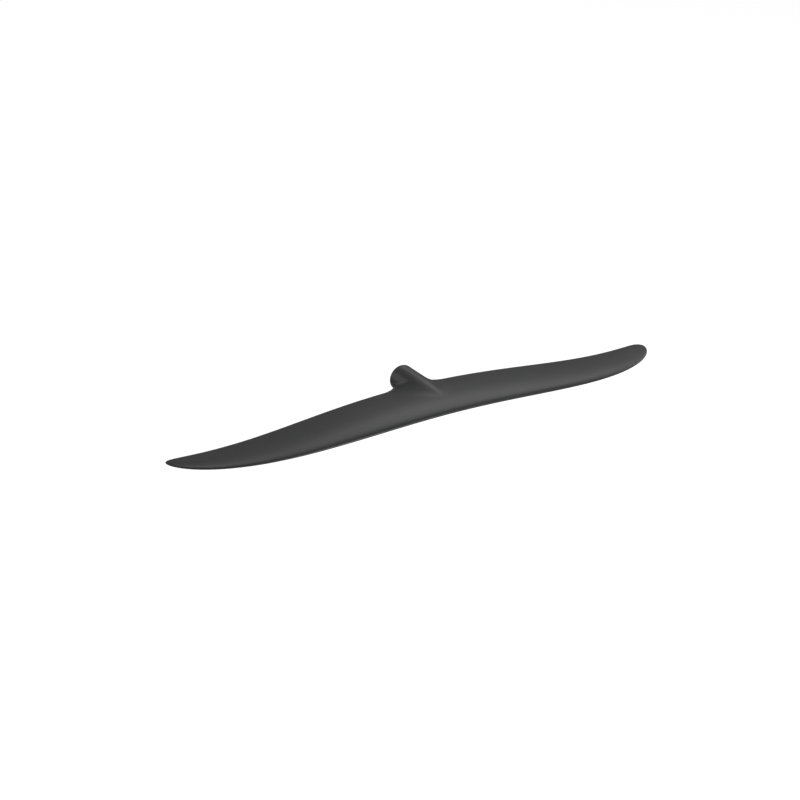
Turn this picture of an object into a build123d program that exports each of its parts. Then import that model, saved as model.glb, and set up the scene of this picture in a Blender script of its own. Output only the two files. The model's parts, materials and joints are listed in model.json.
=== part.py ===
"""Front wing of a hydrofoil: a moulded carbon wing with a round stub that slides onto a fuselage.

Millimetres. X runs along the span, -Y points forward to the leading edge and +Z is up. The origin is
the centre of the stub's rear face, on the axis of the fuselage socket. "Left" is the rider's left, +X.

The outside is one shape, split at the chord plane into an upper and a lower skin. The parts inside are
cut from the cavity that the skins leave, so that neighbours share faces and nothing overlaps.
"""

from build123d import *
import math
import os

# Planform: each edge is a curve in the share of the half span, 0 at the root and 1 at the tip.
SPAN = 900.0
HALF_SPAN = SPAN / 2
ROOT_LEAD_Y = -175.0
ROOT_TRAIL_Y = -38.5
TIP_Y = -54.0
LEAD_POWER = 3.35
LEAD_ROUNDING = 0.61
TRAIL_DIP = 12.0
TRAIL_DIP_PLACE = 1.9
TRAIL_DIP_SHARPNESS = 1.15
TRAIL_POWER = 60.0

# Chord plane: it droops towards the tips and the nose is pitched up.
TIP_DROOP = 23.0
PITCH_SLOPE = math.tan(math.radians(3.5))
ROOT_TRAIL_Z = 0.2

# Four-digit airfoil, as shares of the chord, and the stations of its sections as shares of the half
# span. The last one stops just short of the tip, where the chord would vanish.
THICKNESS = 0.113
CAMBER = 0.02
CAMBER_PLACE = 0.4
TRAIL_THICKNESS = 0.008
HALF_THICKNESS_TERMS = (0.2969, -0.126, -0.3516, 0.2843, -0.1036)
HALF_THICKNESS_SCALE = 5
AIRFOIL_STEPS = 10
STATIONS = (0, 0.08, 0.16, 0.26, 0.36, 0.46, 0.56, 0.66, 0.75, 0.82, 0.875, 0.915, 0.945, 0.967,
            0.983, 0.994, 0.999)

# Stub: a cylinder that flattens as it sinks into the wing, and the web in the corner behind the wing.
STUB_RADIUS = 22.0
FAIRING_START_Y = -50.0
FAIRING_END_Y = -140.0
CREST_DROP = 7.5
CREST_POWER = 1.8
KEEL_RISE = 26.0
KEEL_POWER = 2.3
FAIRING_STATIONS = (0, 0.12, 0.33, 0.55, 0.74, 0.89, 1.0)
NOSE_WIDTH_SHARE = 0.5
NARROWING_POWER = 3
CORNER_RADIUS = 37.0
CORNER_THICKNESS = 0.9
CORNER_OVERLAP = 2.0

# Laminates and the parts inside.
SKIN = 1.5
CAP_THICKNESS = 1.8
CAVITY_REACH = 426.0
SPAR_REACH = 340.0
SPAR_Y = -120.0
CAP_ROOT_HALF_WIDTH = 20.0
CAP_END_HALF_WIDTH = 8.0
WEB_THICKNESS = 3.0
NOSE_STRIP_DEPTH = 9.0
TAIL_STRIP_DEPTH = 14.0
CORE_REACH = 400.0
ROOT_BLOCK_HALF_WIDTH = 30.0
ROOT_BLOCK_FRONT_Y = -98.0
ROOT_BLOCK_RADIUS = 19.5
ROOT_BLOCK_STUB_DEPTH = 73.0

# Fuselage socket and its two bolts.
SOCKET_RADIUS = 15.0
SOCKET_DEPTH = 65.0
SLEEVE_RADIUS = 17.0
FLANGE_RADIUS = 18.5
FLANGE_THICKNESS = 3.0
END_CAP_THICKNESS = 4.0
ISOLATION_WALL = 1.0
KEYWAY_WIDTH = 6.0
KEYWAY_DEPTH = 1.2
REAR_BOLT_Y = -21.0
FRONT_BOLT_Y = -51.0
BOLT_HOLE_RADIUS = 3.3
BUSH_RADIUS = 8.0
COUNTERSINK_RADIUS = 6.3

# Reach of the blocks that only cut, and the spacing of the points along the seam's line.
FAR = 60.0
WIDE = 500
SEAM_STEP = 40


def span_share(x):
    """How far out a station is, 0 at the root and 1 at the tip."""
    return min(abs(x) / HALF_SPAN, 1.0)


def lead_y(x):
    """Leading edge in plan."""
    rounding = (1 - span_share(x) ** LEAD_POWER) ** LEAD_ROUNDING
    return TIP_Y + (ROOT_LEAD_Y - TIP_Y) * rounding


def trail_y(x):
    """Trailing edge in plan: it swings forward along each half, then closes round the tip."""
    share = span_share(x)
    swing = math.sin(math.pi * share**TRAIL_DIP_PLACE) ** TRAIL_DIP_SHARPNESS
    open_edge = ROOT_TRAIL_Y - TRAIL_DIP * swing
    return TIP_Y + (open_edge - TIP_Y) * math.sqrt(1 - share**TRAIL_POWER)


def chord_z(x, y):
    """Height of the chord plane, where the two skins meet."""
    droop = TIP_DROOP * (1 - math.cos(math.pi * span_share(x))) / 2
    return ROOT_TRAIL_Z - droop + (ROOT_TRAIL_Y - y) * PITCH_SLOPE


def camber_share(s):
    """Camber line of a four-digit airfoil at a share s of the chord."""
    if s < CAMBER_PLACE:
        return CAMBER * (2 * CAMBER_PLACE * s - s**2) / CAMBER_PLACE**2
    return CAMBER * (1 - 2 * CAMBER_PLACE + 2 * CAMBER_PLACE * s - s**2) / (1 - CAMBER_PLACE) ** 2


def half_thickness_share(s):
    """Half thickness of a four-digit airfoil, with a blunt trailing edge."""
    nose, *powers = HALF_THICKNESS_TERMS
    closed = nose * math.sqrt(s) + sum(term * s**power for power, term in enumerate(powers, 1))
    return HALF_THICKNESS_SCALE * THICKNESS * closed + TRAIL_THICKNESS / 2 * s


def tail_gap(inset):
    """How much nearer the nose the trailing edge of a section comes when it shrinks by the inset."""
    return 2 * inset / THICKNESS - inset


def wing_section(x, inset):
    """Closed airfoil at station x, shrunk so that it leaves a wall of the inset where it is thickest."""
    full_chord = trail_y(x) - lead_y(x)
    chord = full_chord - inset - tail_gap(inset)
    lift = CAMBER * (full_chord - chord)
    points = []
    for step in range(-AIRFOIL_STEPS, AIRFOIL_STEPS + 1):
        s = (1 - math.cos(math.pi * step / AIRFOIL_STEPS)) / 2
        side = -1 if step > 0 else 1
        y = lead_y(x) + inset + chord * s
        z = chord_z(x, y) + lift + chord * (camber_share(s) + side * half_thickness_share(s))
        points.append(Vector(x, y, z))
    return Wire([Edge.make_spline(points), Edge.make_line(points[-1], points[0])])


def wing_solid(inset=0.0, reach=HALF_SPAN):
    """Loft of the airfoil sections from one tip to the other, as far out as reach."""
    one_side = [share * HALF_SPAN for share in STATIONS if 0 < share * HALF_SPAN < reach]
    if reach < HALF_SPAN:
        one_side.append(reach)
    stations = [-x for x in reversed(one_side)] + [0.0] + one_side
    return Solid.make_loft([wing_section(x, inset) for x in stations])


def rod(radius, start_y, end_y):
    """Cylinder on the socket's axis."""
    plane = Plane(origin=(0, start_y, 0), z_dir=(0, -1, 0))
    return Solid.make_cylinder(radius, start_y - end_y, plane)


def fairing_solid():
    """Front of the stub: ellipses that flatten and narrow towards the nose."""
    rings = []
    for share in FAIRING_STATIONS:
        y = FAIRING_START_Y + (FAIRING_END_Y - FAIRING_START_Y) * share
        crest = STUB_RADIUS - CREST_DROP * share**CREST_POWER
        keel = -STUB_RADIUS + KEEL_RISE * share**KEEL_POWER
        narrowing = (1 - NOSE_WIDTH_SHARE**2) * share**NARROWING_POWER
        half_width = STUB_RADIUS * math.sqrt(1 - narrowing)
        plane = Plane(origin=(0, y, (crest + keel) / 2), x_dir=(1, 0, 0), z_dir=(0, 1, 0))
        half_height = (crest - keel) / 2
        if share == 0:
            rings.append(Wire([Edge.make_circle(STUB_RADIUS, plane)]))
        else:
            rings.append(Wire([Edge.make_ellipse(half_width, half_height, plane)]))
    return Solid.make_loft(rings)


def above_chord(lift=0.0):
    """Everything above the chord plane, or above the plane that lies higher by the lift."""
    stations = range(-WIDE, WIDE + 1, SEAM_STEP)
    seam = Edge.make_spline([Vector(x, FAR, chord_z(x, FAR) + lift) for x in stations])
    corners = [seam @ 1, Vector(WIDE, FAR, 2 * FAR), Vector(-WIDE, FAR, 2 * FAR), seam @ 0]
    sides = [Edge.make_line(a, b) for a, b in zip(corners, corners[1:])]
    length = 2 * FAR - ROOT_LEAD_Y
    return Solid.extrude(Face(Wire([seam] + sides)), Vector(0, -length, length * PITCH_SLOPE))


def plan_edges(points):
    """Straight edges through points in plan, from the first to the last."""
    corners = [Vector(x, y, -FAR) for x, y in points]
    return [Edge.make_line(a, b) for a, b in zip(corners, corners[1:])]


def prism(edges):
    """Upright prism over a closed outline in plan."""
    return Solid.extrude(Face(Wire(edges)), Vector(0, 0, 2 * FAR))


def block(x_from, x_to, y_from, y_to):
    """Upright box over a rectangle in plan."""
    corners = [(x_from, y_from), (x_to, y_from), (x_to, y_to), (x_from, y_to), (x_from, y_from)]
    return prism(plan_edges(corners))


def edge_prism(edge_y, far_y):
    """Upright prism between a curved line across the span and a straight one."""
    one_side = [share * CAVITY_REACH for share in STATIONS]
    stations = [-x for x in reversed(one_side[1:])] + one_side
    end = stations[-1]
    curve = Edge.make_spline([Vector(x, edge_y(x), -FAR) for x in stations])
    corners = [(end, edge_y(end)), (end, far_y), (-end, far_y), (-end, edge_y(end))]
    return prism([curve] + plan_edges(corners))


def corner_web(side):
    """Thin web that rounds the corner in plan between the trailing edge and one side of the stub."""
    outer_x = STUB_RADIUS + CORNER_RADIUS
    inner_x = STUB_RADIUS - CORNER_OVERLAP
    trail = trail_y(outer_x)
    hidden = trail - CORNER_OVERLAP
    centre_y = trail + CORNER_RADIUS
    reach = CORNER_RADIUS * math.sqrt(0.5)
    arc_points = [(outer_x, trail), (outer_x - reach, centre_y - reach), (STUB_RADIUS, centre_y)]
    arc = Edge.make_three_point_arc(*[Vector(side * x, y, -FAR) for x, y in arc_points])
    rest = [(STUB_RADIUS, centre_y), (inner_x, centre_y), (inner_x, hidden), (outer_x, hidden)]
    rest.append((outer_x, trail))
    column = prism([arc] + plan_edges([(side * x, y) for x, y in rest]))
    half = CORNER_THICKNESS / 2
    return single(shared(column, above_chord(-half)).cut(above_chord(half)))


def outer_solid():
    """The whole outside of the moulding, before it is hollowed."""
    stub = rod(STUB_RADIUS, 0, FAIRING_START_Y)
    return single(wing_solid().fuse(fairing_solid(), stub, corner_web(1), corner_web(-1)))


def nose_line_y(x):
    """Line where the leading edge strips end and the foam starts."""
    return lead_y(x) + SKIN + NOSE_STRIP_DEPTH


def tail_line_y(x):
    """Line where the foam ends and the trailing edge strips start."""
    return trail_y(x) - tail_gap(SKIN) - TAIL_STRIP_DEPTH


def single(shape):
    """The one solid that a cut has to leave."""
    solids = ShapeList(shape if isinstance(shape, list) else [shape]).solids()
    if len(solids) != 1:
        raise ValueError(f"{len(solids)} solids where one is expected")
    return solids[0]


def shared(shape, *tools):
    """The one solid that a shape has in common with every tool."""
    return single(shape.intersect(*tools))


def spar_prism():
    """Plan of the spar caps: widest at the root."""
    root, end = CAP_ROOT_HALF_WIDTH, CAP_END_HALF_WIDTH
    corners = [(-SPAR_REACH, -end), (0, -root), (SPAR_REACH, -end), (SPAR_REACH, end), (0, root)]
    corners += [(-SPAR_REACH, end), (-SPAR_REACH, -end)]
    return prism(plan_edges([(x, SPAR_Y + y) for x, y in corners]))


def socket_hollow():
    """Room in the stub for the root block and the socket."""
    return rod(ROOT_BLOCK_RADIUS, 0, -ROOT_BLOCK_STUB_DEPTH)


def upright(radius, y):
    """Cylinder at one bolt, from the socket's axis down and out of the stub."""
    return Solid.make_cylinder(radius, FAR, Plane(origin=(0, y, 0), z_dir=(0, 0, -1)))


def uprights(radius):
    """The cylinders at both bolts."""
    return [upright(radius, y) for y in (REAR_BOLT_Y, FRONT_BOLT_Y)]


def skins(outer, cavity):
    """Upper and lower carbon laminate, joined at the chord plane."""
    shell = outer.cut(cavity.fuse(socket_hollow()))
    above = above_chord()
    upper = shared(shell, above)
    lower = single(shell.cut(above).cut(*uprights(BUSH_RADIUS)))
    return upper, lower


def spar_caps(cavity, cap_bed):
    """Unidirectional carbon caps, bonded to the inside of each skin."""
    caps = shared(cavity, spar_prism()).cut(cap_bed)
    upper, lower = sorted(caps.solids(), key=lambda cap: -cap.center().Z)
    return upper, lower


def shear_web(cap_bed):
    """Web that joins the two caps."""
    half = WEB_THICKNESS / 2
    return shared(cap_bed, block(-SPAR_REACH, SPAR_REACH, SPAR_Y - half, SPAR_Y + half))


def foam_core(cavity, cap_bed, plan):
    """Foam that fills a plan region and steps down under the spar caps."""
    spar = spar_prism()
    under_caps = shared(cap_bed, plan, spar)
    return single(shared(cavity, plan).cut(spar).fuse(under_caps))


def root_block(cavity):
    """Solid composite that carries the socket and its bolts."""
    half = ROOT_BLOCK_HALF_WIDTH
    middle = shared(cavity, block(-half, half, ROOT_BLOCK_FRONT_Y, 0))
    rear_y = -FLANGE_THICKNESS - ISOLATION_WALL
    whole = middle.fuse(rod(ROOT_BLOCK_RADIUS, rear_y, -ROOT_BLOCK_STUB_DEPTH))
    bore = rod(SLEEVE_RADIUS + ISOLATION_WALL, 0, -SOCKET_DEPTH - END_CAP_THICKNESS)
    return single(whole.cut(bore, *uprights(BUSH_RADIUS)))


def socket_sleeve():
    """Anodised aluminium liner with a flange flush with the stub's rear face and a keyway on top."""
    liner = rod(SLEEVE_RADIUS, 0, -SOCKET_DEPTH).fuse(rod(FLANGE_RADIUS, 0, -FLANGE_THICKNESS))
    keyway_top = SOCKET_RADIUS + KEYWAY_DEPTH
    keyway = Solid.make_box(KEYWAY_WIDTH, SOCKET_DEPTH, keyway_top,
                            Plane(origin=(-KEYWAY_WIDTH / 2, -SOCKET_DEPTH, 0)))
    return single(liner.cut(rod(SOCKET_RADIUS, 0, -SOCKET_DEPTH), keyway, *uprights(BOLT_HOLE_RADIUS)))


def socket_end_cap():
    """Disc that closes the socket's front end."""
    return rod(SLEEVE_RADIUS, -SOCKET_DEPTH, -SOCKET_DEPTH - END_CAP_THICKNESS)


def isolation_sleeve():
    """Glass fibre lining that keeps the aluminium off the carbon, with a lip round the flange."""
    lip_depth = FLANGE_THICKNESS + ISOLATION_WALL
    length = SOCKET_DEPTH + END_CAP_THICKNESS
    lining = rod(SLEEVE_RADIUS + ISOLATION_WALL, 0, -length).fuse(rod(ROOT_BLOCK_RADIUS, 0, -lip_depth))
    flange_seat = rod(FLANGE_RADIUS, 0, -FLANGE_THICKNESS)
    return single(lining.cut(rod(SLEEVE_RADIUS, 0, -length), flange_seat, *uprights(BOLT_HOLE_RADIUS)))


def bolt_bush(outer, y):
    """Stainless bush moulded in under the socket, flush outside, with a countersunk bolt hole."""
    pad = shared(outer, upright(BUSH_RADIUS, y))
    sink_depth = COUNTERSINK_RADIUS - BOLT_HOLE_RADIUS
    mouth = Plane(origin=(0, y, -STUB_RADIUS))
    sink = Solid.make_cone(COUNTERSINK_RADIUS, BOLT_HOLE_RADIUS, sink_depth, mouth)
    bore = rod(SLEEVE_RADIUS + ISOLATION_WALL, 0, -SOCKET_DEPTH)
    return single(pad.cut(bore, sink, upright(BOLT_HOLE_RADIUS, y)))


def foam_and_fillers(cavity, cap_bed):
    """Cores, edge strips and tip blocks of both halves, by node name."""
    half_web = WEB_THICKNESS / 2
    foam_plan = edge_prism(nose_line_y, FAR).cut(edge_prism(tail_line_y, FAR))
    root_gap = block(-ROOT_BLOCK_HALF_WIDTH, ROOT_BLOCK_HALF_WIDTH, ROOT_BLOCK_FRONT_Y, FAR)
    ahead = ROOT_LEAD_Y - FAR
    pieces = {}
    for name, side in (("left", 1), ("right", -1)):
        spans = [side * x for x in (0, SPAR_REACH, CORE_REACH, CAVITY_REACH)]
        root, spar_end, core_end, tip = spans
        front_plan = shared(foam_plan, block(root, spar_end, ahead, SPAR_Y - half_web))
        rear_plan = shared(foam_plan, block(root, spar_end, SPAR_Y + half_web, FAR))
        end_plan = shared(foam_plan, block(spar_end, core_end, ahead, FAR))
        rear_plan = single(rear_plan.fuse(end_plan).cut(root_gap))
        nose_plan = block(root, core_end, ahead, FAR).cut(edge_prism(nose_line_y, FAR))
        tail_plan = shared(edge_prism(tail_line_y, FAR), block(root, core_end, ahead, FAR))
        pieces[f"front_core_{name}"] = foam_core(cavity, cap_bed, front_plan)
        pieces[f"rear_core_{name}"] = foam_core(cavity, cap_bed, rear_plan)
        pieces[f"leading_edge_strip_{name}"] = shared(cavity, nose_plan)
        pieces[f"trailing_edge_strip_{name}"] = shared(cavity, tail_plan.cut(root_gap))
        pieces[f"tip_block_{name}"] = shared(cavity, block(core_end, tip, ahead, FAR))
    return pieces


def main():
    """Builds every part and writes each to its own STEP file."""
    outer = outer_solid()
    cavity = wing_solid(SKIN, CAVITY_REACH)
    cap_bed = wing_solid(SKIN + CAP_THICKNESS, CAVITY_REACH)
    nodes = foam_and_fillers(cavity, cap_bed)
    nodes["upper_skin"], nodes["lower_skin"] = skins(outer, cavity)
    nodes["upper_spar_cap"], nodes["lower_spar_cap"] = spar_caps(cavity, cap_bed)
    nodes["shear_web"] = shear_web(cap_bed)
    nodes["root_block"] = root_block(cavity)
    nodes["socket_sleeve"] = socket_sleeve()
    nodes["socket_end_cap"] = socket_end_cap()
    nodes["isolation_sleeve"] = isolation_sleeve()
    nodes["rear_bolt_bush"] = bolt_bush(outer, REAR_BOLT_Y)
    nodes["front_bolt_bush"] = bolt_bush(outer, FRONT_BOLT_Y)
    os.makedirs("parts", exist_ok=True)
    for name, solid in nodes.items():
        export_step(solid, f"parts/{name}.step")


if __name__ == "__main__":
    main()
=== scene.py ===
"""Looks of a hydrofoil front wing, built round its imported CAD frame.

Metres, in the CAD frame: X along the span, -Y forward, +Z up, origin in the middle of the stub's rear face.
The two skins are rebuilt here as dense shells whose stub melts into the wing through a rolling fillet.
Every other CAD node stays as it is and gets its own procedural material.
"""

import json
import math

import bmesh
import bpy
import numpy as np
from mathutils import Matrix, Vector


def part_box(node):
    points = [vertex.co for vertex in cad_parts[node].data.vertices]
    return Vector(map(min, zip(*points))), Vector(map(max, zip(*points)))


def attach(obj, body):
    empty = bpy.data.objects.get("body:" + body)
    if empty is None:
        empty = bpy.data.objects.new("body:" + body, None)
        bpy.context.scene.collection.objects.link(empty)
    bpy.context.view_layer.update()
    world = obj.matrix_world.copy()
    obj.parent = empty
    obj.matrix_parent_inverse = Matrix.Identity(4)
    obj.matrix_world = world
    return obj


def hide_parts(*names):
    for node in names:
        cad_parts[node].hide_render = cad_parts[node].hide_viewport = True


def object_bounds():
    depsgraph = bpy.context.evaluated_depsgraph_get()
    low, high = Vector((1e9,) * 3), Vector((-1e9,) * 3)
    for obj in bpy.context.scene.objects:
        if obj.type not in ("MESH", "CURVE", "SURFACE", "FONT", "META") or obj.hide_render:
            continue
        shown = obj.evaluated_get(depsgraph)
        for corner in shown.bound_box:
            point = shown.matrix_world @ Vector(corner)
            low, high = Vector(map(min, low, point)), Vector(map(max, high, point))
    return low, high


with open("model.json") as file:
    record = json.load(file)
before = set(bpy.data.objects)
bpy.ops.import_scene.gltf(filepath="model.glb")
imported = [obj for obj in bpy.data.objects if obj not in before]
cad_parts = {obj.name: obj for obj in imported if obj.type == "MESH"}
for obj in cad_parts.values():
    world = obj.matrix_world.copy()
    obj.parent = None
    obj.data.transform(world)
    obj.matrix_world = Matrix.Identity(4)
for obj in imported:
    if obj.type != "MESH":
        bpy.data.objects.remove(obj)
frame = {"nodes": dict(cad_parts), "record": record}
cad_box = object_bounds()

# Driving sizes read from the frame.
SKIN_LOW, SKIN_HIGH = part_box("upper_skin")
HALF_SPAN = SKIN_HIGH.x
STUB_RADIUS = SKIN_HIGH.z
ROOT_LEAD_Y = SKIN_LOW.y
LINING_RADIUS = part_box("isolation_sleeve")[1].x
BUSH_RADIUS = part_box("rear_bolt_bush")[1].x
BUSH_PLACES = [sum(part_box(node), Vector()).y / 2 for node in ("rear_bolt_bush", "front_bolt_bush")]

# Planform, chord plane and airfoil: the same curves as the CAD's.
ROOT_TRAIL_Y = -0.0385
TIP_Y = -0.054
LEAD_POWER = 3.35
LEAD_ROUNDING = 0.61
TRAIL_DIP = 0.012
TRAIL_DIP_PLACE = 1.9
TRAIL_DIP_SHARPNESS = 1.15
TRAIL_POWER = 60
TIP_DROOP = 0.023
PITCH_SLOPE = math.tan(math.radians(3.5))
ROOT_TRAIL_Z = 0.0002
THICKNESS = 0.113
CAMBER = 0.02
CAMBER_PLACE = 0.4
TRAIL_THICKNESS = 0.008
NOSE_TERM = 0.2969
HALF_THICKNESS_TERMS = (-0.126, -0.3516, 0.2843, -0.1036)
HALF_THICKNESS_SCALE = 5
TAIL_SHARE = 1 - TRAIL_THICKNESS / 2
SKIN = 0.0015
CAVITY_REACH = 0.426

# Stub: it sinks into the wing, with fillets that widen forward. Paired values are for the crest, side 1,
# and for the keel, side -1.
FAIRING_START_Y = -0.05
FAIRING_LENGTH = 0.09
SINK = {1: 0.0075, -1: 0.026}
SINK_POWER = {1: 1.8, -1: 2.3}
NOSE_BLEND = {1: 0.0022, -1: 0.004}
ROOT_FILLET = {1: 0.056, -1: 0.034}
FILLET_GROWTH = {1: 0.6, -1: 0.1}
FILLET_MERGE = 0.012
FOOT_ARC_RADIUS = 0.052
FOOT_MERGE_Y = -0.054
CORNER_X = 0.059
RIM_ROUNDING = 0.0004
TRAIL_SMOOTHING = 0.0008
SMOOTHING_FADE_X = 0.03
TAIL_BLEND_START = 0.8
TAIL_BLEND_LENGTH = 0.1
HOLLOW_DEPTH = 0.073
HOLLOW_OVERSHOOT = 0.002

# Mesh density, and the passes that settle points which depend on each other.
CHORD_STEPS = 64
SIDE_STEPS = 120
CENTRE_STEPS = 44
CORNER_STEPS = 30
EDGE_STEPS = 5
REAR_STEPS = 3
END_STEPS = 6
CAVITY_STATIONS = 241
CAVITY_CHORD_POINTS = 49
ROD_SEGMENTS = 144
TIP_CLUSTER = 1.7
TIP_GAP = 1e-4
PROFILE_PASSES = 8
CENTRE_PASSES = 4
MERGE_DISTANCE = 2e-7
SMOOTH_ANGLE = math.radians(30)
TINY = 1e-9

# Studio.
FLOOR_HALF_SIZE = 14.0
FLOOR_DROP = 0.35
FLOOR_GREY = (0.3, 0.3, 0.3, 1)
FLOOR_GLOW = 0.93
FLOOR_BOUNCE_GREY = (0.25, 0.25, 0.25, 1)
WHITE = (1, 1, 1, 1)
SKY_STRENGTH = 0.16
LAMP_DISTANCE = 3.0
CAMERA_LENS = 100.83
CAMERA_SENSOR_WIDTH = 36
CAMERA_AIM = Vector((-0.0449, -0.07, -0.003))
CAMERA_AZIMUTH = -31.17
CAMERA_ELEVATION = 24.17
CAMERA_DISTANCE = 3.5705

# Machined edges that are broken, by a hair.
BROKEN_EDGE = 0.0002
BROKEN_EDGE_SEGMENTS = 2
BROKEN_EDGE_ANGLE = math.radians(40)


def smooth_step(value):
    """0 below 0 and 1 above 1, with an even S between them."""
    share = np.clip(value, 0, 1)
    return share * share * (3 - 2 * share)


def smooth_max(first, second, width):
    """The larger of two values, rounded where they differ by less than the width."""
    gap = first - second
    rounded = (gap + width) ** 2 / (4 * width)
    return second + np.where(gap >= width, gap, np.where(gap <= -width, 0, rounded))


def span_share(x):
    """How far out a station is, 0 at the root and 1 at the tip."""
    return np.minimum(np.abs(x) / HALF_SPAN, 1)


def lead_y(x):
    """Leading edge in plan."""
    return TIP_Y + (ROOT_LEAD_Y - TIP_Y) * (1 - span_share(x) ** LEAD_POWER) ** LEAD_ROUNDING


def trail_y(x):
    """Trailing edge in plan."""
    share = span_share(x)
    swing = np.sin(math.pi * share**TRAIL_DIP_PLACE) ** TRAIL_DIP_SHARPNESS
    return TIP_Y + (ROOT_TRAIL_Y - TRAIL_DIP * swing - TIP_Y) * np.sqrt(1 - share**TRAIL_POWER)


def chord_z(x, y):
    """Height of the chord plane, where the two skins meet."""
    droop = TIP_DROOP * (1 - np.cos(math.pi * span_share(x))) / 2
    return ROOT_TRAIL_Z - droop + (ROOT_TRAIL_Y - y) * PITCH_SLOPE


def section_rise(s, side):
    """Height of one face of the airfoil over its chord line, as a share of the chord."""
    ahead = CAMBER * (2 * CAMBER_PLACE * s - s**2) / CAMBER_PLACE**2
    behind = CAMBER * (1 - 2 * CAMBER_PLACE + 2 * CAMBER_PLACE * s - s**2) / (1 - CAMBER_PLACE) ** 2
    camber = np.where(s < CAMBER_PLACE, ahead, behind)
    closed = NOSE_TERM * np.sqrt(s)
    for power, term in enumerate(HALF_THICKNESS_TERMS, 1):
        closed = closed + term * s**power
    return side * camber + HALF_THICKNESS_SCALE * THICKNESS * closed + TRAIL_THICKNESS / 2 * s


ROOT_CHORD = ROOT_TRAIL_Y - ROOT_LEAD_Y
PLATE_HALF = TRAIL_THICKNESS / 2 * ROOT_CHORD
CORNER_TRAIL_Y = float(trail_y(CORNER_X))
STUB_SEAM_X = math.sqrt(STUB_RADIUS**2 - float(chord_z(STUB_RADIUS, 0.0)) ** 2)
CORNER_RADIUS = CORNER_X - STUB_SEAM_X
CORNER_CENTRE_Y = CORNER_TRAIL_Y + CORNER_RADIUS
TAIL_SLOPE_STEP = 1e-3


def plate_half(y):
    """Half thickness of the web behind the wing, thinning out to the stub's rear."""
    return PLATE_HALF * np.sqrt(np.clip((CORNER_CENTRE_Y - y) / CORNER_RADIUS, 0, 1))


def face_height(x, y, side):
    """Height of the wing's face or of the web behind it, counted outwards: up for side 1, down for -1."""
    chord = trail_y(x) - lead_y(x)
    s = (y - lead_y(x)) / chord
    inside = np.clip(s, 0, 1)
    tail_slope = (section_rise(1.0, side) - section_rise(1 - TAIL_SLOPE_STEP, side)) / TAIL_SLOPE_STEP
    rise = chord * (section_rise(inside, side) + np.maximum(s - 1, 0) * tail_slope)
    outboard = smooth_step((np.abs(x) - SMOOTHING_FADE_X) / (CORNER_X - SMOOTHING_FADE_X))
    width = TRAIL_SMOOTHING * (1 - outboard)
    near_tail = smooth_step((s - TAIL_BLEND_START) / TAIL_BLEND_LENGTH)
    rounded = smooth_max(rise, plate_half(y), np.maximum(width, TINY))
    rise = np.where(np.abs(x) < CORNER_X, rise + (rounded - rise) * near_tail, rise)
    return side * chord_z(x, y) + rise


def crest(y, side):
    """How far the stub's crest, or its keel for side -1, stands out from the socket's axis."""
    share = np.maximum(FAIRING_START_Y - y, 0) / FAIRING_LENGTH
    return STUB_RADIUS - SINK[side] * share ** SINK_POWER[side]


def foot_limit(y):
    """How far out the fillet may reach: nothing at the stub's rear, then an arc inside the web's edge."""
    forward = np.clip(CORNER_CENTRE_Y - y, 0, FOOT_ARC_RADIUS)
    return STUB_SEAM_X + FOOT_ARC_RADIUS - np.sqrt(FOOT_ARC_RADIUS**2 - forward**2)


def stub_profile(y, side):
    """Fillet radius, foot of the fillet and rise of the stub over the wing's face, at each slice."""
    wanted = ROOT_FILLET[side] + FILLET_GROWTH[side] * np.maximum(CORNER_TRAIL_Y - y, 0)
    foot = np.full_like(y, STUB_RADIUS)
    for _ in range(PROFILE_PASSES):
        rise = smooth_max(crest(y, side) - face_height(foot, y, side), 0, NOSE_BLEND[side])
        limit = (foot_limit(y) ** 2 + rise**2) / np.maximum(2 * rise, TINY) - STUB_RADIUS
        merge = np.minimum(FILLET_MERGE, np.maximum(limit, TINY) / 2)
        limited = np.maximum(-smooth_max(-wanted, -limit, merge), 0)
        radius = np.where(y > FOOT_MERGE_Y, limited, wanted)
        foot = np.sqrt(np.maximum(rise * (2 * (STUB_RADIUS + radius) - rise), 0))
    return radius, foot, rise


def slice_point(y, u, end_x, side):
    """(x, outward height) at a share u of the way round the slice at y, from the crest to end_x."""
    radius, foot, rise = stub_profile(y, side)
    steepest = np.arccos(np.clip(1 - rise / (STUB_RADIUS + radius), -1, 1))
    cap = STUB_RADIUS * steepest
    fillet = radius * steepest
    flat = np.maximum(end_x - foot, 0)
    along = u * (cap + fillet + flat)
    base = face_height(foot, y, side)
    on_cap = np.minimum(along, cap) / STUB_RADIUS
    cap_x = STUB_RADIUS * np.sin(on_cap)
    cap_z = base + rise - STUB_RADIUS * (1 - np.cos(on_cap))
    tilt = steepest - (along - cap) / np.maximum(radius, TINY)
    fillet_x = foot - radius * np.sin(tilt)
    level = face_height(np.maximum(fillet_x, 0), y, side) - base
    settled = smooth_step((along - cap) / np.maximum(fillet, TINY))
    fillet_z = base + radius * (1 - np.cos(tilt)) + level * settled
    flat_x = foot + along - cap - fillet
    flat_z = face_height(flat_x, y, side)
    on_fillet = (along > cap) & (along <= cap + fillet)
    x = np.where(along <= cap, cap_x, np.where(on_fillet, fillet_x, flat_x))
    z = np.where(along <= cap, cap_z, np.where(on_fillet, fillet_z, flat_z))
    return x, z


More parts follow.
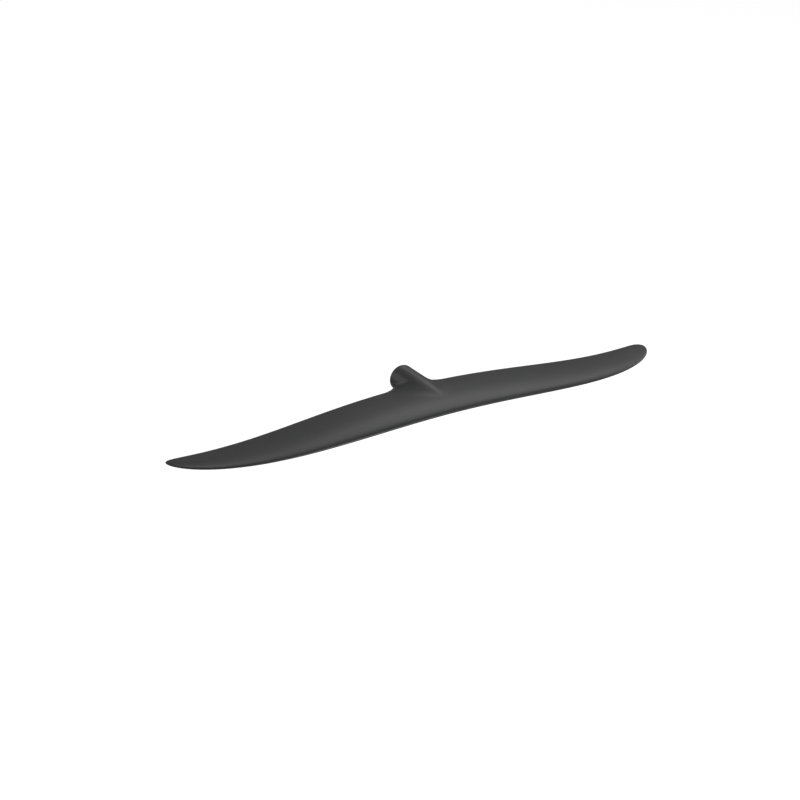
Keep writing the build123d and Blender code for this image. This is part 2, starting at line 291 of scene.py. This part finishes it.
class Patchwork:
    """Grids of points that become one closed mesh when their shared edges merge."""

    def __init__(self):
        self.points = []
        self.faces = []

    def add(self, grid):
        """Fills a rows by columns grid of points with quads, and adds its mirror image in X."""
        for flip in (1, -1):
            first = len(self.points)
            rows, columns = grid.shape[:2]
            self.points.extend((grid * (flip, 1, 1)).reshape(-1, 3).tolist())
            for row in range(rows - 1):
                start = first + row * columns
                for k in range(start, start + columns - 1):
                    self.faces.append((k, k + 1, k + columns + 1, k + columns))

    def mesh(self, name):
        """One merged closed mesh with its faces turned outwards."""
        mesh = bpy.data.meshes.new(name)
        mesh.from_pydata(self.points, [], self.faces)
        work = bmesh.new()
        work.from_mesh(mesh)
        bmesh.ops.remove_doubles(work, verts=work.verts, dist=MERGE_DISTANCE)
        bmesh.ops.dissolve_degenerate(work, edges=work.edges, dist=MERGE_DISTANCE)
        bmesh.ops.recalc_face_normals(work, faces=work.faces)
        work.to_mesh(mesh)
        work.free()
        return mesh


def stack(x, y, z):
    """Points from their three coordinates."""
    return np.stack(np.broadcast_arrays(x, y, z), axis=-1)


def between(first, last, steps):
    """Rows that run straight from one line of points to another."""
    share = np.linspace(0, 1, steps + 1)[:, None, None]
    return first[None] * (1 - share) + last[None] * share


def wing_patches(side):
    """One face of the wing outboard of the corner webs, and the rounded trailing edge."""
    v = np.linspace(0, 1, SIDE_STEPS + 1)
    inner_share = CORNER_X / HALF_SPAN
    share = 1 - TIP_GAP - (1 - TIP_GAP - inner_share) * (1 - v) ** TIP_CLUSTER
    x = share * HALF_SPAN
    x[0] = CORNER_X
    x[-1] = HALF_SPAN
    chord_x = np.minimum(x, HALF_SPAN * (1 - TIP_GAP))
    lead, trail = lead_y(chord_x), trail_y(chord_x)
    chord = trail - lead
    s = TAIL_SHARE * (1 - np.cos(np.linspace(0, math.pi, CHORD_STEPS + 1))) / 2
    y = lead + np.outer(s, chord)
    rise = chord * section_rise(s, side)[:, None]
    rise[:, -1] = 0
    plane = chord_z(x, y)
    face = stack(x, y, plane + side * rise)
    turn = np.linspace(0, math.pi / 2, EDGE_STEPS + 1)[:, None]
    edge_y = y[-1] + (trail - y[-1]) * np.sin(turn)
    edge_z = chord_z(x, edge_y) + side * rise[-1] * np.cos(turn)
    edge = stack(x, edge_y, edge_z)
    return face, edge


def centre_face(side):
    """One face between the corners, ahead of the trailing edge: the stub's ridge runs along it."""
    s = TAIL_SHARE * (1 - np.cos(np.linspace(0, math.pi, CHORD_STEPS + 1)))[:, None] / 2
    u = np.linspace(0, 1, CENTRE_STEPS + 1)[None, :]
    x = np.broadcast_to(CORNER_X * u, (CHORD_STEPS + 1, CENTRE_STEPS + 1)).copy()
    for _ in range(CENTRE_PASSES):
        y = lead_y(x) + s * (trail_y(x) - lead_y(x))
        x, height = slice_point(y, np.broadcast_to(u, y.shape), np.full_like(y, CORNER_X), side)
        x[:, -1] = CORNER_X
    height[0] = side * chord_z(x[0], y[0])
    return stack(x, y, side * height)


def corner_face(side, start_y):
    """One face of the stub and its webs behind the trailing edge, and the web's rounded edge."""
    turn = np.linspace(0, math.pi / 2, CORNER_STEPS + 1)[:, None]
    t = turn / (math.pi / 2)
    u = np.linspace(0, 1, CENTRE_STEPS + 1)[None, :]
    arc_y = CORNER_CENTRE_Y - CORNER_RADIUS * np.cos(turn)
    offset = plate_half(arc_y)
    offset[0] = CORNER_TRAIL_Y - start_y[-1]
    outer_x = CORNER_X - (CORNER_RADIUS + offset) * np.sin(turn)
    outer_y = CORNER_CENTRE_Y - (CORNER_RADIUS + offset) * np.cos(turn)
    crest_y = start_y[0] + (CORNER_CENTRE_Y - start_y[0]) * t
    y = crest_y + (outer_y - crest_y) * smooth_step(u)
    y[0] = start_y
    x, height = slice_point(y, np.broadcast_to(u, y.shape), np.broadcast_to(outer_x, y.shape), side)
    face = stack(x, y, side * height)
    face[:, -1, 0] = outer_x[:, 0]
    edge_turn = np.linspace(0, math.pi / 2, EDGE_STEPS + 1)[None, :]
    reach = CORNER_RADIUS + offset * (1 - np.sin(edge_turn))
    edge_x = CORNER_X - reach * np.sin(turn)
    edge_y = CORNER_CENTRE_Y - reach * np.cos(turn)
    seam = chord_z(edge_x, edge_y)
    lift = face[:, -1:, 2] - seam[:, :1]
    edge = stack(edge_x, edge_y, seam + lift * np.cos(edge_turn))
    return face, edge


def rear_face(side, first_row):
    """The last stretch of the stub, its rounded rim and the flat rear face down to the seam."""
    u = np.linspace(0, 1, CENTRE_STEPS + 1)
    rows = [first_row]
    turns = np.linspace(0, math.pi / 2, EDGE_STEPS + 1)
    stretch = np.linspace(first_row[0, 1], -RIM_ROUNDING, REAR_STEPS + 1)[1:]
    places = [(y, STUB_RADIUS) for y in stretch]
    for turn in turns[1:]:
        inset = RIM_ROUNDING * (1 - math.cos(turn))
        places.append((RIM_ROUNDING * (math.sin(turn) - 1), STUB_RADIUS - inset))
    for y, radius in places:
        seam = side * float(chord_z(radius, y))
        angle = math.acos(seam / radius) * u
        rows.append(stack(radius * np.sin(angle), y, side * radius * np.cos(angle)))
    rim = rows[-1]
    seam_x = rim[-1, 0] * u
    seam_line = stack(seam_x, rim[:, 1], chord_z(seam_x, rim[:, 1]))
    seam_line[-1] = rim[-1]
    return np.array(rows), between(rim, seam_line, END_STEPS)


def seam_grid(face, straight):
    """The part of the seam face under a grid: the same edge, pressed onto the chord plane."""
    grid = face.copy()
    if straight:
        u = np.linspace(0, 1, face.shape[1])[None, :]
        grid[:, :, 0] = face[:, -1:, 0] * u
        grid[:, :, 1] = face[:, :1, 1] + (face[:, -1:, 1] - face[:, :1, 1]) * smooth_step(u)
    grid[:, :, 2] = chord_z(grid[:, :, 0], grid[:, :, 1])
    return grid


def solid_skin(side):
    """Everything of the moulding on one side of the chord plane, as a closed mesh."""
    patches = Patchwork()
    wing, wing_edge = wing_patches(side)
    centre = centre_face(side)
    centre[:, -1] = wing[:, 0]
    corner, corner_edge = corner_face(side, centre[-1, :, 1])
    corner[0] = centre[-1]
    corner_edge[0] = wing_edge[:, 0]
    rear, end = rear_face(side, corner[-1])
    corner_edge[-1] = rear[0, -1]
    for grid in (wing, wing_edge, centre, corner, corner_edge, rear, end):
        patches.add(grid)
    wing_seam = seam_grid(wing, False)
    centre_seam = seam_grid(centre, True)
    centre_seam[:, -1] = wing_seam[:, 0]
    centre_seam[0] = centre[0]
    corner_seam = seam_grid(corner, True)
    corner_seam[0] = centre_seam[-1]
    rear_seam = seam_grid(rear, True)
    rear_seam[0] = corner_seam[-1]
    rear_seam[:, -1] = rear[:, -1]
    rear_seam[-1] = end[-1]
    edge_seams = [seam_grid(wing_edge, False), seam_grid(corner_edge, False)]
    edge_seams[1][0] = edge_seams[0][:, 0]
    for grid in [wing_seam, centre_seam, corner_seam, rear_seam] + edge_seams:
        patches.add(grid)
    return patches.mesh("upper_solid" if side > 0 else "lower_solid")


def cavity_mesh():
    """Room inside the skins: the wing's section shrunk by the laminate."""
    tail_gap = 2 * SKIN / THICKNESS - SKIN
    x = np.linspace(-CAVITY_REACH, CAVITY_REACH, CAVITY_STATIONS)
    s = (1 - np.cos(np.linspace(0, math.pi, CAVITY_CHORD_POINTS))) / 2
    full = trail_y(x) - lead_y(x)
    chord = full - SKIN - tail_gap
    lift = CAMBER * (full - chord)
    y = lead_y(x) + SKIN + np.outer(s, chord)
    loops = []
    for side, order in ((1, slice(None, None, -1)), (-1, slice(1, None))):
        z = chord_z(x, y) + lift + side * chord * section_rise(s, side)[:, None]
        loops.append(stack(x, y, z)[order])
    loop = np.concatenate(loops)
    loop_size, columns = loop.shape[:2]
    faces = []
    for i in range(loop_size):
        j = (i + 1) % loop_size
        for k in range(columns - 1):
            here, there = i * columns + k, j * columns + k
            faces.append((here, here + 1, there + 1, there))
    faces.append([i * columns for i in range(loop_size)])
    faces.append([i * columns + columns - 1 for i in range(loop_size)])
    mesh = bpy.data.meshes.new("cavity")
    mesh.from_pydata(loop.reshape(-1, 3).tolist(), [], faces)
    work = bmesh.new()
    work.from_mesh(mesh)
    bmesh.ops.recalc_face_normals(work, faces=work.faces)
    work.to_mesh(mesh)
    work.free()
    return mesh


def rod_mesh(name, radius, start, end):
    """Closed cylinder between two points that lie straight behind or above each other."""
    axis = (end - start).normalized()
    side_way = axis.orthogonal().normalized()
    up_way = axis.cross(side_way)
    segments = ROD_SEGMENTS
    rings = []
    for centre in (start, end):
        for k in range(segments):
            turn = 2 * math.pi * k / segments
            rings.append(centre + radius * (side_way * math.cos(turn) + up_way * math.sin(turn)))
    faces = []
    for k in range(segments):
        after = (k + 1) % segments
        faces.append((k, after, after + segments, k + segments))
    faces += [list(range(segments))[::-1], list(range(segments, 2 * segments))]
    mesh = bpy.data.meshes.new(name)
    mesh.from_pydata(rings, [], faces)
    return mesh


def placed(name, mesh):
    """A new object in the scene."""
    piece = bpy.data.objects.new(name, mesh)
    bpy.context.scene.collection.objects.link(piece)
    return piece


def cut_away(mesh, cutters):
    """The mesh less every cutter."""
    work_piece = placed("work_piece", mesh)
    tools = [placed("cutter", cutter) for cutter in cutters]
    for tool in tools:
        cut = work_piece.modifiers.new("cut", "BOOLEAN")
        cut.object = tool
        cut.solver = "EXACT"
    depsgraph = bpy.context.evaluated_depsgraph_get()
    result = bpy.data.meshes.new_from_object(work_piece.evaluated_get(depsgraph))
    for leftover in [work_piece] + tools:
        bpy.data.objects.remove(leftover)
    return result


def build_skin(side, name):
    """One laminate: the solid half less the wing's cavity, the socket's room and the bushes' holes."""
    rear, front = Vector((0, HOLLOW_OVERSHOOT, 0)), Vector((0, -HOLLOW_DEPTH, 0))
    cutters = [cavity_mesh(), rod_mesh("hollow", LINING_RADIUS, rear, front)]
    if side < 0:
        for y in BUSH_PLACES:
            top, bottom = Vector((0, y, 0)), Vector((0, y, -2 * STUB_RADIUS))
            cutters.append(rod_mesh("bush_hole", BUSH_RADIUS, top, bottom))
    mesh = cut_away(solid_skin(side), cutters)
    mesh.name = name
    mesh.shade_smooth()
    mesh.set_sharp_from_angle(angle=SMOOTH_ANGLE)
    skin = placed(name, mesh)
    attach(skin, "root")
    return skin


class Look:
    """A material whose node tree is put together step by step."""

    def __init__(self, name, roughness, metallic=0.0):
        self.material = bpy.data.materials.new(name)
        self.material.use_nodes = True
        self.nodes = self.material.node_tree.nodes
        self.links = self.material.node_tree.links
        self.surface = self.nodes["Principled BSDF"]
        self.surface.inputs["Roughness"].default_value = roughness
        self.surface.inputs["Metallic"].default_value = metallic
        self.place = self.nodes.new("ShaderNodeTexCoord").outputs["Object"]

    def value(self, operation, *operands):
        """A maths node. Each operand is a number or another node's output."""
        node = self.nodes.new("ShaderNodeMath")
        node.operation = operation
        for slot, operand in zip(node.inputs, operands):
            self.feed(slot, operand)
        return node.outputs[0]

    def feed(self, slot, source):
        """Gives a socket its number or its link."""
        if isinstance(source, (int, float, tuple)):
            slot.default_value = source
        else:
            self.links.new(source, slot)

    def scaled(self, scale, turn=0.0):
        """Object coordinates, stretched and turned about Z."""
        node = self.nodes.new("ShaderNodeMapping")
        node.inputs["Scale"].default_value = scale
        node.inputs["Rotation"].default_value = (0, 0, turn)
        self.links.new(self.place, node.inputs["Vector"])
        return node.outputs[0]

    def axes(self, vector=None):
        """The X, Y and Z of a vector, or of the object's coordinates."""
        node = self.nodes.new("ShaderNodeSeparateXYZ")
        self.links.new(vector or self.place, node.inputs[0])
        return node.outputs

    def noise(self, scale, detail, vector=None):
        """Soft noise, from 0 to 1."""
        node = self.nodes.new("ShaderNodeTexNoise")
        node.inputs["Scale"].default_value = scale
        node.inputs["Detail"].default_value = detail
        self.links.new(vector or self.place, node.inputs["Vector"])
        return node.outputs["Fac"]

    def cells(self, scale):
        """Cells packed at random: the distance to each one's middle, and its own colour."""
        node = self.nodes.new("ShaderNodeTexVoronoi")
        node.inputs["Scale"].default_value = scale
        self.links.new(self.place, node.inputs["Vector"])
        return node.outputs

    def spread(self, source, low, high):
        """Takes a value from 0..1 to low..high."""
        node = self.nodes.new("ShaderNodeMapRange")
        node.inputs["To Min"].default_value = low
        node.inputs["To Max"].default_value = high
        self.links.new(source, node.inputs["Value"])
        return node.outputs[0]

    def tint(self, colour, *shades):
        """The base colour times every shade."""
        total = 1.0
        for shade in shades:
            total = self.value("MULTIPLY", total, shade)
        node = self.nodes.new("ShaderNodeMix")
        node.data_type = "RGBA"
        node.blend_type = "MULTIPLY"
        node.inputs["Factor"].default_value = 1.0
        node.inputs[6].default_value = (*colour, 1)
        self.links.new(total, node.inputs[7])
        self.links.new(node.outputs[2], self.surface.inputs["Base Color"])

    def roughen(self, source):
        """The surface's roughness."""
        self.links.new(source, self.surface.inputs["Roughness"])

    def bump(self, height, distance, strength=1.0):
        """Fine relief, as high as the distance."""
        node = self.nodes.new("ShaderNodeBump")
        node.inputs["Distance"].default_value = distance
        node.inputs["Strength"].default_value = strength
        self.links.new(height, node.inputs["Height"])
        self.links.new(node.outputs[0], self.surface.inputs["Normal"])


def twill(look, tow):
    """2x2 twill: 1 on warp tows and 0 on weft tows, each tow shaded as a rounded bundle."""
    x, y, _ = look.axes(look.scaled((1 / tow,) * 3))
    column = look.value("FLOOR", x)
    row = look.value("FLOOR", y)
    step = look.value("FLOORED_MODULO", look.value("ADD", column, row), 4.0)
    warp = look.value("LESS_THAN", step, 2.0)
    across_warp = look.value("ABSOLUTE", look.value("SUBTRACT", look.value("FRACT", x), 0.5))
    across_weft = look.value("ABSOLUTE", look.value("SUBTRACT", look.value("FRACT", y), 0.5))
    on_warp = look.value("MULTIPLY", warp, across_warp)
    on_weft = look.value("MULTIPLY", look.value("SUBTRACT", 1.0, warp), across_weft)
    bundle = look.value("SUBTRACT", 1.0, look.value("ADD", on_warp, on_weft))
    return warp, bundle


def carbon_skin():
    """Matt moulded carbon: a trace of twill under a fine satin grain, slightly uneven along the span. The
    twill in the colour is painted light: a painted sheen that makes warp tows lighter than weft tows, and
    painted shade that makes each warp tow lighter at its middle than at its edges.
    """
    look = Look("carbon_skin", 0.4)
    warp, bundle = twill(look, 0.0016)
    clouds = look.noise(14, 4)
    streaks = look.noise(1, 4, look.scaled((9, 220, 220)))
    grain = look.noise(1500, 2)
    # Painted sheen and shade: warp tows are painted lighter than weft tows, and each warp tow lighter at
    # its middle than at its edges.
    weave_shade = look.spread(look.value("MULTIPLY", warp, bundle), 0.95, 1.05)
    uneven = [look.spread(clouds, 0.93, 1.07), look.spread(streaks, 0.95, 1.05)]
    look.tint((0.046, 0.047, 0.048), *uneven, look.spread(grain, 0.94, 1.06), weave_shade)
    look.roughen(look.value("ADD", look.spread(clouds, 0.37, 0.43), look.spread(warp, -0.025, 0.025)))
    height = look.value("ADD", look.value("MULTIPLY", grain, 0.6), look.value("MULTIPLY", bundle, 0.3))
    look.bump(height, 0.00004, 0.6)
    return look.material


def carbon_spar():
    """Unidirectional carbon along the span, with the fine print of peel ply."""
    look = Look("carbon_spar", 0.42)
    fibres = look.noise(1, 5, look.scaled((12, 2600, 2600)))
    tows = look.noise(1, 2, look.scaled((6, 320, 320)))
    x, y, _ = look.axes(look.scaled((2200, 2200, 2200)))
    print_mark = look.value("MULTIPLY", look.value("SINE", x), look.value("SINE", y))
    look.tint((0.032, 0.032, 0.034), look.spread(fibres, 0.6, 1.5), look.spread(tows, 0.8, 1.2))
    look.roughen(look.spread(fibres, 0.34, 0.55))
    look.bump(look.value("ADD", fibres, look.value("MULTIPLY", print_mark, 0.3)), 0.00006)
    return look.material


def foam():
    """Closed-cell foam: cut cells a fraction of a millimetre wide."""
    look = Look("foam", 0.9)
    cells = look.cells(2600)["Distance"]
    patches = look.noise(40, 3)
    look.tint((0.78, 0.7, 0.5), look.spread(cells, 0.78, 1.08), look.spread(patches, 0.94, 1.05))
    look.bump(cells, 0.00012)
    return look.material


def filler():
    """Epoxy filled with glass bubbles: off-white, with pin holes and a faint trowel grain."""
    look = Look("filler", 0.68)
    speckle = look.noise(2400, 2)
    pores = look.cells(700)["Distance"]
    drag = look.noise(1, 3, look.scaled((30, 500, 500)))
    look.tint((0.55, 0.53, 0.48), look.spread(speckle, 0.9, 1.08), look.spread(drag, 0.95, 1.04))
    look.roughen(look.spread(speckle, 0.6, 0.76))
    look.bump(pores, 0.00008)
    return look.material


def root_laminate():
    """Moulded chopped carbon: flat chips that lie every way and catch the light differently."""
    look = Look("root_laminate", 0.4)
    chips = look.cells(150)
    x, y, z = look.axes(chips["Color"])
    grain = look.noise(1, 4, look.scaled((180, 2400, 2400), 0.6))
    look.tint((0.05, 0.05, 0.052), look.spread(x, 0.55, 1.6), look.spread(grain, 0.75, 1.25))
    look.roughen(look.spread(y, 0.28, 0.55))
    look.bump(look.value("ADD", z, look.value("MULTIPLY", grain, 0.4)), 0.00008)
    return look.material


def turned_rings(look, first, second, pitch):
    """Fine grooves round an axis, from two coordinates measured across it."""
    squares = [look.value("MULTIPLY", part, part) for part in (first, second)]
    radius = look.value("SQRT", look.value("ADD", *squares))
    wander = look.value("MULTIPLY", look.noise(900, 2), 2.5)
    phase = look.value("ADD", look.value("MULTIPLY", radius, 2 * math.pi / pitch), wander)
    return look.value("ADD", look.value("MULTIPLY", look.value("SINE", phase), 0.5), 0.5)


def anodised_aluminium():
    """Satin hard-anodised aluminium, turned about the socket's axis."""
    look = Look("anodised_aluminium", 0.36, 0.85)
    x, _, z = look.axes()
    rings = turned_rings(look, x, z, 0.00025)
    film = look.noise(260, 3)
    look.tint((0.5, 0.5, 0.52), look.spread(rings, 0.93, 1.05), look.spread(film, 0.93, 1.06))
    look.roughen(look.spread(film, 0.3, 0.44))
    look.bump(rings, 0.00001, 0.5)
    return look.material


def glass_fibre():
    """Glass fibre in epoxy: pale green, with the plain weave of its cloth showing through."""
    look = Look("glass_fibre", 0.3)
    x, y, z = look.axes(look.scaled((3600, 3600, 3600)))
    weave = look.value("MULTIPLY", look.value("SINE", look.value("ADD", x, z)), look.value("SINE", y))
    milk = look.noise(420, 3)
    weave_shade = look.spread(look.value("ADD", weave, 1.0), 0.9, 1.0)
    look.tint((0.6, 0.64, 0.5), weave_shade, look.spread(milk, 0.9, 1.08))
    look.surface.inputs["Subsurface Weight"].default_value = 0.15
    look.surface.inputs["Subsurface Radius"].default_value = (0.001, 0.0012, 0.0009)
    look.roughen(look.spread(milk, 0.24, 0.4))
    look.bump(weave, 0.00002, 0.5)
    return look.material


def stainless_steel(bolt_y):
    """Turned stainless steel, with rings round its own bolt hole."""
    look = Look("stainless_steel", 0.28, 1.0)
    x, y, _ = look.axes()
    rings = turned_rings(look, x, look.value("SUBTRACT", y, bolt_y), 0.0003)
    smear = look.noise(500, 3)
    look.tint((0.6, 0.6, 0.58), look.spread(rings, 0.9, 1.05), look.spread(smear, 0.92, 1.06))
    look.roughen(look.spread(smear, 0.2, 0.36))
    look.bump(rings, 0.00001, 0.5)
    return look.material


def dress(piece, material):
    """Makes this the piece's only material."""
    piece.data.materials.clear()
    piece.data.materials.append(material)
    for face in piece.data.polygons:
        face.material_index = 0


def dress_nodes():
    """Gives every CAD node that stays the material of its slot in the record."""
    shared_looks = {
        "carbon_spar": carbon_spar(),
        "foam": foam(),
        "filler": filler(),
        "root_laminate": root_laminate(),
        "anodised_aluminium": anodised_aluminium(),
        "glass_fibre": glass_fibre(),
    }
    for subpart in frame["record"]["subparts"]:
        node, slot_name = subpart["node"], subpart["material_slot"]
        piece = frame["nodes"][node]
        if slot_name in shared_looks:
            dress(piece, shared_looks[slot_name])
        elif slot_name == "stainless_steel":
            low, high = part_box(node)
            dress(piece, stainless_steel((low.y + high.y) / 2))


def ease_edges(piece):
    """Breaks a machined node's sharp edges, so that they catch the light."""
    bevel = piece.modifiers.new("broken_edges", "BEVEL")
    bevel.width = BROKEN_EDGE
    bevel.segments = BROKEN_EDGE_SEGMENTS
    bevel.limit_method = "ANGLE"
    bevel.angle_limit = BROKEN_EDGE_ANGLE


def make_floor():
    """Pale floor, well below the wing. It casts no shadow and hides nothing from below."""
    size = FLOOR_HALF_SIZE
    low = cad_box[0].z - FLOOR_DROP
    mesh = bpy.data.meshes.new("floor")
    corners = [(-size, -size, low), (size, -size, low), (size, size, low), (-size, size, low)]
    mesh.from_pydata(corners, [], [(0, 1, 2, 3)])
    floor = placed("floor", mesh)
    floor.visible_shadow = False
    material = bpy.data.materials.new("pale_floor")
    material.use_nodes = True
    nodes, links = material.node_tree.nodes, material.node_tree.links
    nodes.clear()
    path = nodes.new("ShaderNodeLightPath")
    side = nodes.new("ShaderNodeNewGeometry")
    pale = nodes.new("ShaderNodeBsdfDiffuse")
    pale.inputs["Color"].default_value = FLOOR_GREY
    glow = nodes.new("ShaderNodeEmission")
    glow.inputs["Strength"].default_value = FLOOR_GLOW
    seen = nodes.new("ShaderNodeAddShader")
    dim = nodes.new("ShaderNodeBsdfDiffuse")
    dim.inputs["Color"].default_value = FLOOR_BOUNCE_GREY
    by_ray = nodes.new("ShaderNodeMixShader")
    clear = nodes.new("ShaderNodeBsdfTransparent")
    by_side = nodes.new("ShaderNodeMixShader")
    output = nodes.new("ShaderNodeOutputMaterial")
    links.new(pale.outputs[0], seen.inputs[0])
    links.new(glow.outputs[0], seen.inputs[1])
    links.new(path.outputs["Is Camera Ray"], by_ray.inputs["Fac"])
    links.new(dim.outputs[0], by_ray.inputs[1])
    links.new(seen.outputs[0], by_ray.inputs[2])
    links.new(side.outputs["Backfacing"], by_side.inputs["Fac"])
    links.new(by_ray.outputs[0], by_side.inputs[1])
    links.new(clear.outputs[0], by_side.inputs[2])
    links.new(by_side.outputs[0], output.inputs["Surface"])
    dress(floor, material)


def make_world():
    """White surroundings for the camera, and a dimmer sky that lights the wing."""
    world = bpy.data.worlds.new("studio")
    bpy.context.scene.world = world
    world.use_nodes = True
    nodes, links = world.node_tree.nodes, world.node_tree.links
    nodes.clear()
    path = nodes.new("ShaderNodeLightPath")
    sky = nodes.new("ShaderNodeBackground")
    sky.inputs["Color"].default_value = WHITE
    sky.inputs["Strength"].default_value = SKY_STRENGTH
    backdrop = nodes.new("ShaderNodeBackground")
    backdrop.inputs["Color"].default_value = WHITE
    mix = nodes.new("ShaderNodeMixShader")
    output = nodes.new("ShaderNodeOutputWorld")
    links.new(path.outputs["Is Camera Ray"], mix.inputs["Fac"])
    links.new(sky.outputs[0], mix.inputs[1])
    links.new(backdrop.outputs[0], mix.inputs[2])
    links.new(mix.outputs[0], output.inputs["Surface"])


def direction(azimuth, elevation):
    """Unit vector from the wing to a lamp or the camera. Azimuth 0 is in front, 90 off the left tip."""
    a, e = math.radians(azimuth), math.radians(elevation)
    return Vector((math.sin(a) * math.cos(e), -math.cos(a) * math.cos(e), math.sin(e)))


def soft_light(name, azimuth, elevation, size, strength):
    """Square soft box that looks at the wing. Strength is the irradiance on a surface that faces it."""
    light = bpy.data.lights.new(name, "AREA")
    light.size = size
    light.energy = strength * math.pi * LAMP_DISTANCE**2
    lamp = bpy.data.objects.new(name, light)
    bpy.context.scene.collection.objects.link(lamp)
    toward = direction(azimuth, elevation)
    lamp.location = toward * LAMP_DISTANCE
    lamp.rotation_mode = "QUATERNION"
    lamp.rotation_quaternion = toward.to_track_quat("Z", "Y")
    lamp.visible_camera = False


def make_camera():
    """Camera in front of the wing, towards its right tip, well above it and far off."""
    camera = bpy.data.objects.new("camera", bpy.data.cameras.new("camera"))
    bpy.context.scene.collection.objects.link(camera)
    camera.data.lens = CAMERA_LENS
    camera.data.sensor_width = CAMERA_SENSOR_WIDTH
    back = direction(CAMERA_AZIMUTH, CAMERA_ELEVATION)
    camera.location = CAMERA_AIM + back * CAMERA_DISTANCE
    camera.rotation_mode = "QUATERNION"
    camera.rotation_quaternion = back.to_track_quat("Z", "Y")
    bpy.context.scene.camera = camera


skin_look = carbon_skin()
for skin_side, name, node in ((1, "upper_shell", "upper_skin"), (-1, "lower_shell", "lower_skin")):
    shell = build_skin(skin_side, name)
    dress(shell, skin_look)
    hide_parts(node)
dress_nodes()
for machined in ("socket_sleeve", "rear_bolt_bush", "front_bolt_bush"):
    ease_edges(frame["nodes"][machined])

make_floor()
make_world()
soft_light("key", azimuth=136, elevation=43, size=2.0, strength=0.56)
soft_light("top", azimuth=-160, elevation=66, size=1.4, strength=0.42)
soft_light("side", azimuth=98, elevation=15, size=2.0, strength=0.4)
soft_light("rim", azimuth=-137, elevation=11, size=2.3, strength=0.5)
soft_light("front", azimuth=9, elevation=7, size=1.1, strength=1.55)
soft_light("below", azimuth=180, elevation=-75, size=3.0, strength=3.5)
make_camera()
bpy.context.scene.view_settings.view_transform = "Standard"

bpy.context.view_layer.update()
